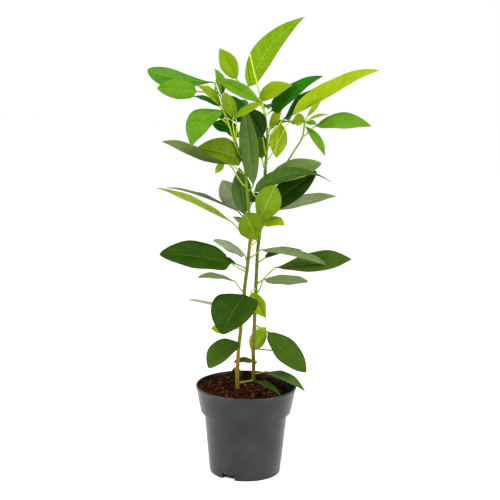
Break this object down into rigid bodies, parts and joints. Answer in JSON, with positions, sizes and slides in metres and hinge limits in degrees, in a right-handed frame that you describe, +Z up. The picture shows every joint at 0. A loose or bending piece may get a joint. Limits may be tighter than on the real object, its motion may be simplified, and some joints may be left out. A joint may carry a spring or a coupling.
{
  "type": "potted indian laurel fig",
  "caption": "Young upright laurel fig with slender twin stems and long glossy leaves, in a round dark grey nursery pot filled with soil.",
  "frame": {"origin": "centre of the pot's flat underside", "axes": "+Z up along the pot's axis, +X to the right and -Y to the front of the pictured view"},
  "size_m": [0.3646, 0.2119, 0.7638],
  "materials": {
    "pot_plastic": "satin moulded plastic, dark grey",
    "potting_soil": "moist peat with light fibres",
    "stem_bark": "smooth young bark, ochre with brown rings at the leaf nodes",
    "green_shoot": "smooth green shoot",
    "deep_leaf": "waxy leaf, very dark green",
    "mature_leaf": "waxy leaf, dark green with a paler underside",
    "fresh_leaf": "soft waxy leaf, mid green",
    "young_leaf": "soft young leaf, yellow-green",
    "crown_foliage": "soft waxy leaves on green shoots"
  },
  "bodies": {
    "root": {"bud_leaf": "young_leaf", "front_round_leaf": "mature_leaf", "hanging_light_leaf": "fresh_leaf", "hidden_stalk_leaf": "mature_leaf", "left_crown": "crown_foliage", "left_long_leaf": "mature_leaf", "left_pale_leaf": "mature_leaf", "left_small_leaf": "mature_leaf", "left_stem": "stem_bark", "left_stem_back_leaf_1": "mature_leaf", "left_stem_back_leaf_2": "mature_leaf", "left_stem_back_leaf_3": "mature_leaf", "left_stem_back_leaf_4": "mature_leaf", "left_tiny_leaf": "mature_leaf", "low_back_leaf": "fresh_leaf", "low_left_leaf": "mature_leaf", "low_right_leaf": "mature_leaf", "low_stub_leaf": "mature_leaf", "low_yellow_leaf": "young_leaf", "mid_arch_leaf": "fresh_leaf", "mid_curl_leaf": "fresh_leaf", "mid_dark_leaf": "deep_leaf", "mid_far_right_leaf": "mature_leaf", "mid_front_leaf": "fresh_leaf", "mid_left_back_leaf": "mature_leaf", "mid_left_edge_leaf": "fresh_leaf", "mid_light_leaf": "young_leaf", "mid_lower_right_leaf": "deep_leaf", "mid_round_leaf": "mature_leaf", "mid_upper_right_leaf": "mature_leaf", "pot": "pot_plastic", "right_crown": "crown_foliage", "right_long_leaf": "mature_leaf", "right_rolled_leaf": "mature_leaf", "right_small_leaf": "mature_leaf", "right_stem": "stem_bark", "right_stem_back_leaf_1": "mature_leaf", "right_stem_back_leaf_2": "mature_leaf", "right_stem_back_leaf_3": "mature_leaf", "right_stem_back_leaf_4": "mature_leaf", "rim_front_leaf": "mature_leaf", "rim_right_leaf": "mature_leaf", "side_crown": "crown_foliage", "side_shoot": "green_shoot", "soil": "potting_soil", "upper_edge_leaf": "mature_leaf", "upper_erect_leaf": "mature_leaf"}
  },
  "joints": []
}
